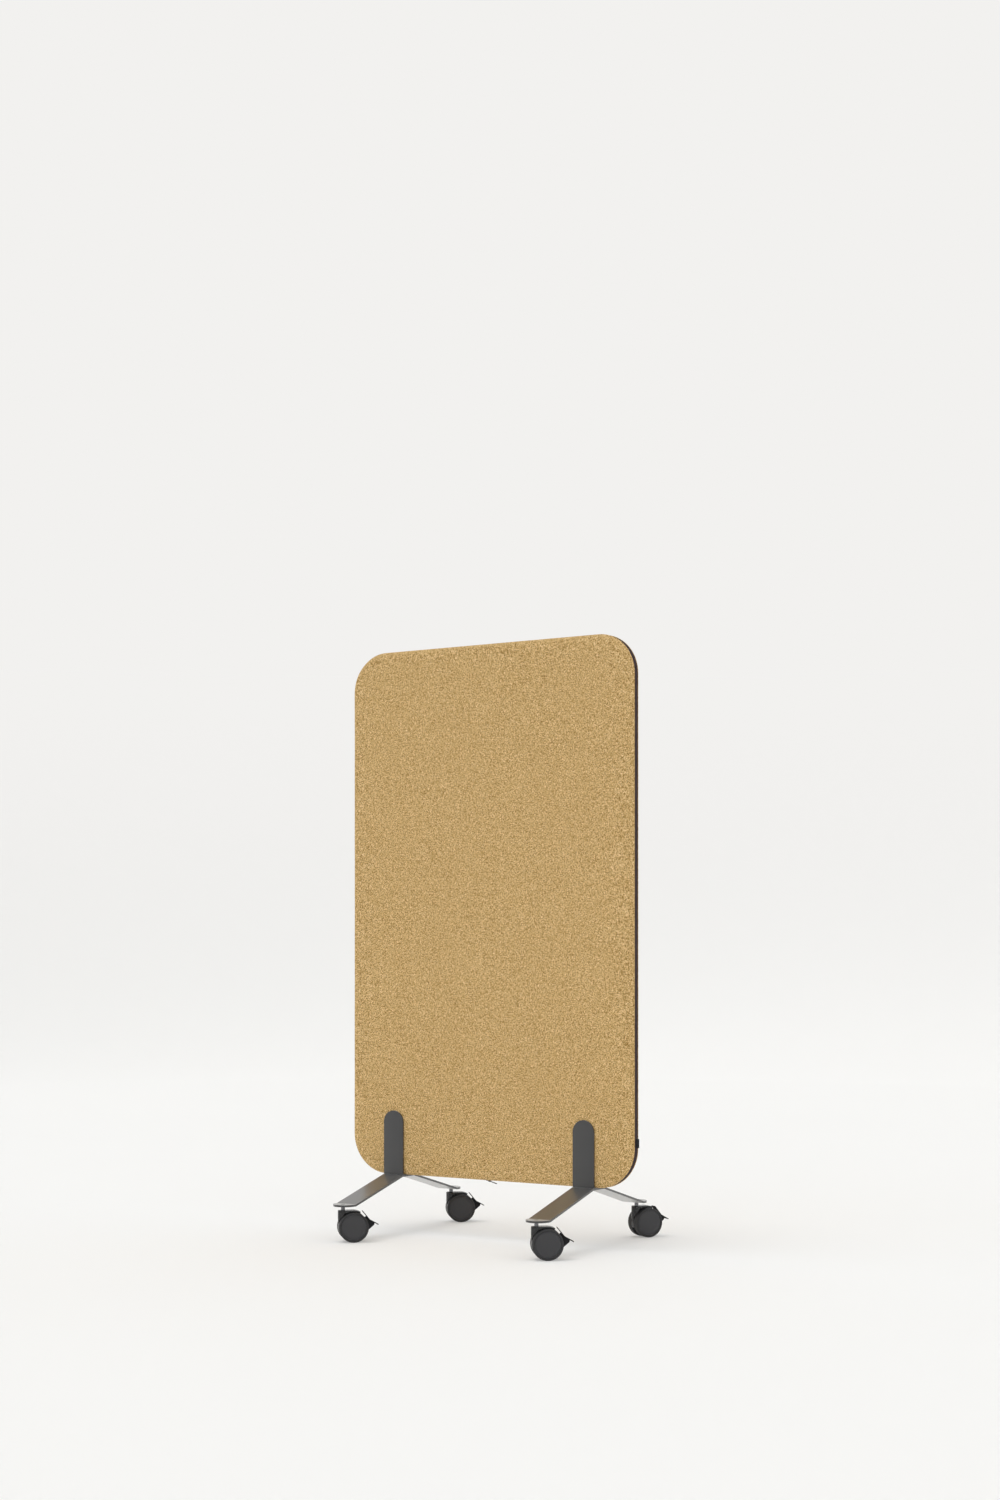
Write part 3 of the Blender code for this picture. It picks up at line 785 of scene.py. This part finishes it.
def bar_mesh(hand):
    """The bent bar with its round ends and the holes that the stems pass through."""
    low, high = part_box(f"{hand}_foot_bar")
    tip = (high.y - low.y) / 2
    stem_y = [joint_named(f"{end}_{hand}_swivel")["pos_m"][1] - middle_y for end in ("front", "back")]
    end_z = low.z + strip_thickness / 2
    saddle_z = high.z - strip_thickness / 2
    knee = stem_y[1] - end_flat
    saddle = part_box(f"{hand}_back_tongue")[1].y - middle_y
    points = [(-tip, end_z), (-knee, end_z), (-saddle, saddle_z)]
    points += [(-y, z) for y, z in points[::-1]]
    bar = strip(filleted(points, strip_bend, bend_steps), strip_width, strip_thickness)
    half = strip_width / 2
    plan = arc((tip - half, 0), half, -math.pi / 2, math.pi / 2, round_steps)
    plan += arc((half - tip, 0), half, math.pi / 2, 3 * math.pi / 2, round_steps)
    blank = plate([plan], 2 * high.z, upright=False)
    bore = stem_radius + clearance
    holes = [("DIFFERENCE", rod(bore, 0, high.z, "Z", (y, 0), round_steps)) for y in stem_y]
    bar = combined(bar, [("INTERSECT", blank)] + holes)
    middle_x = (low.x + high.x) / 2
    return placed(bar, Matrix.Rotation(math.pi / 2, 4, "Z"), Matrix.Translation((middle_x, middle_y, 0)))


def tongue_mesh(node, bores):
    """A flat upright plate with a half-round top, and its screw holes where it has them."""
    low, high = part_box(node)
    half = (high.x - low.x) / 2
    height = high.z - low.z
    points = [(-half, 0), (half, 0)] + arc((0, height - half), half, 0, math.pi, round_steps)
    mesh = plate([points], high.y - low.y, foot_edge, 3)
    mesh = placed(mesh, Matrix.Translation(((low.x + high.x) / 2, (low.y + high.y) / 2, low.z)))
    return combined(mesh, [("DIFFERENCE", bore) for bore in bores])


powder = finish_of("graphite_powder_coat", (36, 36, 38), 0.4)
tuned(powder, {"Coat Weight": 1.0, "Coat Roughness": 0.26, "Sheen Weight": 0.9, "Sheen Roughness": 0.3})
varied(powder, grain(powder, 900, 2.0), 0.34, 0.46)
embossed(powder, grain(powder, 1700, 2.0, 0.6), 0.00002, 0.4)
screw_radius = 0.0030
for hand in ("left", "right"):
    bar = added(f"{hand}_bent_bar", bar_mesh(hand))
    shaded(softened(bar, foot_edge, angle=50.0), powder)
    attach(bar, "screen")
    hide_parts(f"{hand}_foot_bar")
    for face in ("front", "back"):
        bores = []
        if face == "back":
            for level in ("lower", "upper"):
                low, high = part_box(f"{hand}_{level}_screw")
                at = ((low.x + high.x) / 2, (low.z + high.z) / 2)
                bores.append(rod(screw_radius + clearance, low.y, high.y, "Y", at, round_steps))
        tongue = added(f"{hand}_{face}_tongue_plate", tongue_mesh(f"{hand}_{face}_tongue", bores))
        shaded(tongue, powder)
        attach(tongue, "screen")
        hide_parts(f"{hand}_{face}_tongue")


# The feet's screws and inserts
# Zinc-plated M6 screws with a button head and a hexagon socket hold each foot from the back. They run into
# flanged brass inserts, pressed into the bottom rail.
head_height = 0.0033
head_radius = 0.00525
head_rim_share = 0.25
head_top_angle = 1.2
head_steps = 9
hex_sides = 6
socket_radius = 0.0023
socket_depth = 0.0018


def turned(profile, steps):
    """A profile of radius and height turned round Z. It runs down the outer side."""
    mesh = bpy.data.meshes.new("profile")
    count = len(profile)
    closed = all(radius > 0 for radius, _ in profile)
    edges = [(i, i + 1) for i in range(count - 1)] + ([(count - 1, 0)] if closed else [])
    mesh.from_pydata([(radius, 0, height) for radius, height in profile], edges, [])
    holder = added("profile", mesh)
    turn = holder.modifiers.new("turn", "SCREW")
    turn.steps = steps
    turn.render_steps = steps
    turn.use_merge_vertices = True
    turn.merge_threshold = weld_distance
    return solid_mesh(holder)


def screw_mesh(length):
    """A domed head with its socket, and a plain shank to the thread's outer size."""
    angles = np.linspace(head_top_angle, 0, head_steps + 1)
    heights = [head_rim_share + (1 - head_rim_share) * math.sin(a) for a in angles]
    dome = [(head_radius * math.cos(a), head_height * share) for a, share in zip(angles, heights)]
    profile = [(0, head_height)] + dome + [(head_radius, 0), (screw_radius, 0), (screw_radius, -length)]
    profile.append((0, -length))
    socket = rod(socket_radius, head_height - socket_depth, 2 * head_height, "Z", (0, 0), hex_sides)
    return combined(turned(profile, round_steps), [("DIFFERENCE", socket)])


zinc = finish_of("bright_zinc_plate", (176, 177, 180), 0.3, 1.0)
varied(zinc, grain(zinc, 700, 3.0, 0.6, (1, 1, 6)), 0.24, 0.42)
toned(zinc, grain(zinc, 60, 3.0), [(0.35, (158, 159, 162)), (0.65, (190, 191, 193))])
brass = finish_of("pressed_brass", (192, 160, 96), 0.32, 1.0)
varied(brass, grain(brass, 500, 3.0), 0.26, 0.46)
for hand in ("left", "right"):
    for level in ("lower", "upper"):
        low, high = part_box(f"{hand}_{level}_screw")
        seat = high.y - head_height
        screw = added(f"{hand}_{level}_button_screw", screw_mesh(seat - low.y))
        shaded(screw, zinc)
        middle = ((low.x + high.x) / 2, seat, (low.z + high.z) / 2)
        screw.matrix_world = Matrix.Translation(middle) @ Matrix.Rotation(-math.pi / 2, 4, "X")
        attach(screw, "screen")
        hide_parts(f"{hand}_{level}_screw")
        dress([f"{hand}_{level}_insert"], brass)


# The casters' stems
# A dull oiled steel stem, 10 mm thick, is held in each end of the bar and stands in the boss of the
# caster's housing. Its top end has a hexagon socket, level with the bar.
wheel_radius = 0.0375
boss_rise = 0.0045
housing_top = 2 * wheel_radius + boss_rise
stem_socket = 0.0280
chamfer = 0.0006
hex_radius = 0.0029
hex_depth = 0.0040
places = ["front_left", "front_right", "back_left", "back_right"]


def caster_frame(place):
    """The caster's own frame: its swivel axis on the floor, and +X along its trail."""
    swivel = joint_named(f"{place}_swivel")["pos_m"]
    axis = joint_named(f"{place}_brake")["axis"]
    turn = Matrix.Rotation(math.atan2(-axis[0], axis[1]), 4, "Z")
    return Matrix.Translation((swivel[0], swivel[1], 0)) @ turn


def mounted(name, mesh, made, place, body, replaced, angle=35.0):
    """Sets a caster's piece in its frame, on its body."""
    piece = shaded(added(name, mesh), made, angle)
    piece.matrix_world = caster_frame(place)
    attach(piece, body)
    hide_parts(*replaced)
    return piece


def stem_mesh():
    low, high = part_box("front_left_stem")
    profile = [
        (0, high.z),
        (stem_radius - chamfer, high.z),
        (stem_radius, high.z - chamfer),
        (stem_radius, low.z + chamfer),
        (stem_radius - chamfer, low.z),
        (0, low.z),
    ]
    socket = rod(hex_radius, high.z - hex_depth, 2 * high.z, "Z", (0, 0), hex_sides)
    return combined(turned(profile, round_steps), [("DIFFERENCE", socket)])


steel = finish_of("oiled_steel", (124, 124, 127), 0.36, 1.0)
varied(steel, grain(steel, 600, 3.0, 0.6, (1, 1, 8)), 0.30, 0.46)
stem = stem_mesh()
for place in places:
    mounted(f"{place}_threaded_stem", stem, steel, place, "screen", [f"{place}_stem"])


# The casters' housings
# One black nylon moulding carries everything: a round boss for the stem, a hood over the wheels, a web down
# between them that holds the axle, and two cheeks for the brake lever.
caster_trail = 0.025
wheel_width = 0.0165
wheel_spacing = 0.0145
web_width = 0.0125
web_lip = 0.0006
hub_radius = 0.0120
hood_width = 0.0240
hood_clearance = 0.0015
boss_radius = 0.0130
boss_drop = 0.0330
boss_edge = 0.0012
corner_share = 0.3
axle_radius = 0.0030
lever_pivot_shares = (0.733, 0.440)
cheek_eye = 0.0062
lever_eye = 0.0050
lever_web = 0.0070
trunnion_radius = 0.0020
hood_end = math.radians(64)
web_low_end = math.radians(200)
hub_low_end = math.radians(340)
moulded_edge = 0.0005
hood_steps = 10
web_steps = 32
hub_steps = 16
cheek_steps = 12
fine_steps = 64
wheel_centre = (caster_trail, wheel_radius)


def from_wheel(shares):
    return (wheel_centre[0] + shares[0] * wheel_radius, wheel_centre[1] + shares[1] * wheel_radius)


lever_pivot = from_wheel(lever_pivot_shares)


def housing_mesh():
    quarter = math.pi / 2
    hood = [(0, housing_top), (caster_trail, housing_top)]
    hood += arc(wheel_centre, wheel_radius + boss_rise, quarter, hood_end, hood_steps)[1:]
    hood += [wheel_centre, (0, wheel_radius)]
    web = arc(wheel_centre, wheel_radius - web_lip, hood_end, web_low_end, web_steps)
    web += arc(wheel_centre, hub_radius, web_low_end, hub_low_end, hub_steps)
    web += arc(lever_pivot, cheek_eye, -quarter, quarter / 2, cheek_steps)
    boss = turned(
        [
            (0, housing_top),
            (boss_radius - boss_edge, housing_top),
            (boss_radius - boss_edge * corner_share, housing_top - boss_edge * corner_share),
            (boss_radius, housing_top - boss_edge),
            (boss_radius, housing_top - boss_drop),
            (0, housing_top - boss_drop),
        ],
        fine_steps,
    )
    side = web_width / 2
    beyond = side + 2 * wheel_width
    envelope = wheel_radius + hood_clearance
    envelopes = [
        ("DIFFERENCE", rod(envelope, low, high, "Y", wheel_centre, 2 * fine_steps))
        for low, high in ((-beyond, -side), (side, beyond))
    ]
    slot = lever_web / 2 + clearance
    throat = cheek_eye + lever_eye - trunnion_radius
    stem_low = housing_top - stem_socket
    cuts = [
        rod(throat, -slot, slot, "Y", lever_pivot, fine_steps),
        rod(trunnion_radius + clearance, -web_width, web_width, "Y", lever_pivot, round_steps),
        rod(axle_radius + clearance, -web_width, web_width, "Y", wheel_centre, round_steps),
        rod(stem_radius + clearance, stem_low, 2 * housing_top, "Z", (0, 0), round_steps),
    ]
    changes = [("UNION", boss)] + envelopes + [("UNION", plate([web], web_width))]
    changes += [("DIFFERENCE", cut) for cut in cuts]
    return combined(plate([hood], hood_width), changes)


nylon = finish_of("black_nylon", (28, 28, 30), 0.24)
varied(nylon, grain(nylon, 350, 3.0), 0.20, 0.30)
embossed(nylon, grain(nylon, 1600, 2.0), 0.00004, 0.5)
housing = housing_mesh()
for place in places:
    name = f"{place}_moulded_housing"
    piece = mounted(name, housing, nylon, place, f"{place}_caster", [f"{place}_housing"])
    softened(piece, moulded_edge, segments=2, angle=40.0)
    dress([f"{place}_axle"], zinc)


# The wheels
# Each caster has two moulded wheels on one steel axle. The outer face is a charcoal disc, slightly crowned,
# and the hollow back runs close beside the housing's web.
tread_depth = 0.0060
wheel_shoulder = 0.0008
wheel_rim = 0.0045
wheel_dish = 0.0065
wheel_hub = 0.0080
axle_end_wall = 0.0040
disc_crown = 0.0003
crown_shares = (0, 0.4, 0.7)


def on_wheel(hand):
    """A wheel's place in its caster's frame: its axis along Z, and its inner face at Z = 0."""
    face = 1 if hand == "left" else -1
    centre = Matrix.Translation((caster_trail, face * wheel_spacing / 2, wheel_radius))
    return centre @ Matrix.Rotation(-face * math.pi / 2, 4, "X")


def wheel_mesh():
    rim_radius = wheel_radius - tread_depth - clearance
    bore = axle_radius + clearance
    face = wheel_width - disc_crown
    profile = [(rim_radius * share, wheel_width - disc_crown * share**2) for share in crown_shares]
    profile += [
        (rim_radius - wheel_shoulder, face),
        (rim_radius - wheel_shoulder * corner_share, face - wheel_shoulder * corner_share),
        (rim_radius, face - wheel_shoulder),
        (rim_radius, 0),
        (rim_radius - wheel_rim, 0),
        (rim_radius - wheel_rim, wheel_width - wheel_dish),
        (wheel_hub, wheel_width - wheel_dish),
        (wheel_hub, 0),
        (bore, 0),
        (bore, wheel_width - axle_end_wall),
        (0, wheel_width - axle_end_wall),
    ]
    return turned(profile, fine_steps)


charcoal = finish_of("charcoal_moulding", (56, 56, 59), 0.5)
varied(charcoal, grain(charcoal, 300, 3.0), 0.42, 0.58)
embossed(charcoal, grain(charcoal, 1500, 2.0), 0.00005, 0.6)


# The tyres
# A band of dark grey thermoplastic rubber is moulded round each wheel. It stands slightly proud of the disc
# with rounded shoulders, and its tread is smooth and dull where it rolls.
tread_shoulder = 0.0022
shoulder_steps = 5


def tyre_mesh():
    inner = wheel_radius - tread_depth
    quarter = math.pi / 2
    low = wheel_radius - tread_shoulder
    upper = arc((low, wheel_width - tread_shoulder), tread_shoulder, quarter, 0, shoulder_steps)
    lower = arc((low, tread_shoulder), tread_shoulder, 0, -quarter, shoulder_steps)
    return turned([(inner, wheel_width)] + upper + lower + [(inner, 0)], fine_steps)


rubber = finish_of("dark_tread_rubber", (44, 44, 46), 0.6)
rubber_wear = grain(rubber, 260, 4.0, 0.6)
toned(rubber, rubber_wear, [(0.35, (38, 38, 40)), (0.65, (50, 50, 52))])
varied(rubber, rubber_wear, 0.5, 0.75)
for place in places:
    for hand in ("left", "right"):
        wheel = f"{place}_{hand}"
        body = f"{wheel}_roller"
        disc = placed(wheel_mesh(), on_wheel(hand))
        mounted(f"{wheel}_disc", disc, charcoal, place, body, [f"{wheel}_wheel"])
        tread = placed(tyre_mesh(), on_wheel(hand))
        mounted(f"{wheel}_tread", tread, rubber, place, body, [f"{wheel}_tyre"])


# The brake levers
# A rocker of the same black nylon: a thin bent plate that the toe presses down at its tip, a web below it
# that works between the wheels, and a trunnion on each side that snaps into the housing's cheeks.
lever_path_shares = ((0.635, 1.040), (1.125, 0.435), (1.685, 0.130))
gusset_upper_shares = ((0.905, 0.706), (1.125, 0.437), (1.450, 0.258))
gusset_lower_shares = ((1.420, 0.105), (1.060, -0.200), (0.930, -0.180))
lever_plate = 0.0018
lever_width = 0.0180
lever_bend = 0.0140
lever_edge = 0.0004


def lever_mesh():
    quarter = math.pi / 2
    path = filleted([from_wheel(shares) for shares in lever_path_shares], lever_bend, bend_steps)
    web = [from_wheel(shares) for shares in gusset_upper_shares + gusset_lower_shares]
    web += arc(lever_pivot, lever_eye, 3 * quarter, quarter, eye_steps)
    reach = web_width / 2 - clearance
    trunnions = rod(trunnion_radius, -reach, reach, "Y", lever_pivot, round_steps)
    thumb = strip(path, lever_width, lever_plate)
    return combined(thumb, [("UNION", plate([web], lever_web)), ("UNION", trunnions)])


matt_nylon = finish_of("matt_black_nylon", (28, 28, 30), 0.6)
tuned(matt_nylon, {"Specular IOR Level": 0.3})
matt_skin = grain(matt_nylon, 1200, 2.0)
varied(matt_nylon, matt_skin, 0.55, 0.7)
embossed(matt_nylon, matt_skin, 0.0001, 0.5)
lever = lever_mesh()
for place in places:
    name = f"{place}_rocker_lever"
    body = f"{place}_rocker"
    piece = mounted(name, lever, matt_nylon, place, body, [f"{place}_brake_lever"])
    softened(piece, lever_edge, segments=2, angle=40.0)


# The studio
# A pale seamless bowl of floor and wall under an even pale sky, with one broad soft light overhead, a little
# to the left and in front. To the camera and reflections, about a third of the floor's tone and all of the
# wall's above the bend is one even pale colour. The camera stands where the photographer's did.
bowl_radius = 9.0
bowl_bend = 2.5
bowl_height = 7.0
bowl_bend_steps = 16
bowl_steps = 96
floor_lift = 1.5
sky_colour = (1.0, 0.998, 0.992)
sky_strength = 0.80
light_strength = 0.75
light_breadth = math.radians(32)
light_direction = (0.18, 0.15, -0.97)
focal_pixels = 2191.6
horizon_pixels = 942.0
photo_height = 1500
eye = (3.02482, -4.65003, 0.74980)
camera_turn = math.radians(32.958)


def bowl_mesh():
    quarter = math.pi / 2
    bend = arc((bowl_radius - bowl_bend, bowl_bend), bowl_bend, 0, -quarter, bowl_bend_steps)
    return turned([(bowl_radius, bowl_height)] + bend + [(0, 0)], bowl_steps)


paper = finish_of("studio_paper", (246, 246, 246), 0.95)
tuned(paper, {"Specular IOR Level": 0})
toned(paper, grain(paper, 0.6, 2.0), [(0.3, (248, 248, 247)), (0.7, (249, 249, 248))])


def wall_lit(made, colour, start, full):
    """Blends in an even colour by height, for the camera and reflections: none at start, all at full."""
    tree = made.node_tree
    place = tree.nodes.new("ShaderNodeTexCoord")
    height = tree.nodes.new("ShaderNodeSeparateXYZ")
    rise = tree.nodes.new("ShaderNodeMapRange")
    rise.interpolation_type = "SMOOTHSTEP"
    rise.inputs["From Min"].default_value = start
    rise.inputs["From Max"].default_value = full
    path = tree.nodes.new("ShaderNodeLightPath")
    glow = tree.nodes.new("ShaderNodeEmission")
    glow.inputs["Color"].default_value = (*linear(*colour), 1)
    blend = tree.nodes.new("ShaderNodeMixShader")
    seen = path.outputs["Is Camera Ray"]
    for ray in ("Is Glossy Ray", "Is Transmission Ray"):
        seen = computed(made, "MAXIMUM", seen, path.outputs[ray])
    tree.links.new(place.outputs["Object"], height.inputs["Vector"])
    tree.links.new(height.outputs["Z"], rise.inputs["Value"])
    tree.links.new(computed(made, "MULTIPLY", rise.outputs["Result"], seen), blend.inputs["Fac"])
    tree.links.new(tree.nodes["Principled BSDF"].outputs["BSDF"], blend.inputs[1])
    tree.links.new(glow.outputs["Emission"], blend.inputs[2])
    tree.links.new(blend.outputs["Shader"], tree.nodes["Material Output"].inputs["Surface"])


wall_lit(paper, (242, 241, 239), -floor_lift, bowl_bend)
studio = shaded(added("studio_bowl", bowl_mesh()), paper)

world = bpy.context.scene.world or bpy.data.worlds.new("sky")
bpy.context.scene.world = world
world.use_nodes = True
sky = world.node_tree.nodes["Background"]
sky.inputs["Color"].default_value = (*sky_colour, 1)
sky.inputs["Strength"].default_value = sky_strength
overhead_light = bpy.data.lights.new("overhead_light", "SUN")
overhead_light.energy = light_strength
overhead_light.angle = light_breadth
overhead = added("overhead_light", overhead_light)
overhead.rotation_euler = Vector(light_direction).to_track_quat("-Z", "Y").to_euler()

camera = added("camera", bpy.data.cameras.new("camera"))
camera.location = eye
camera.rotation_euler = (math.pi / 2, 0, camera_turn)
camera.data.sensor_width = 36
camera.data.lens = focal_pixels * camera.data.sensor_width / photo_height
camera.data.shift_y = (horizon_pixels - photo_height / 2) / photo_height
bpy.context.scene.camera = camera
bpy.context.scene.view_settings.view_transform = "Standard"
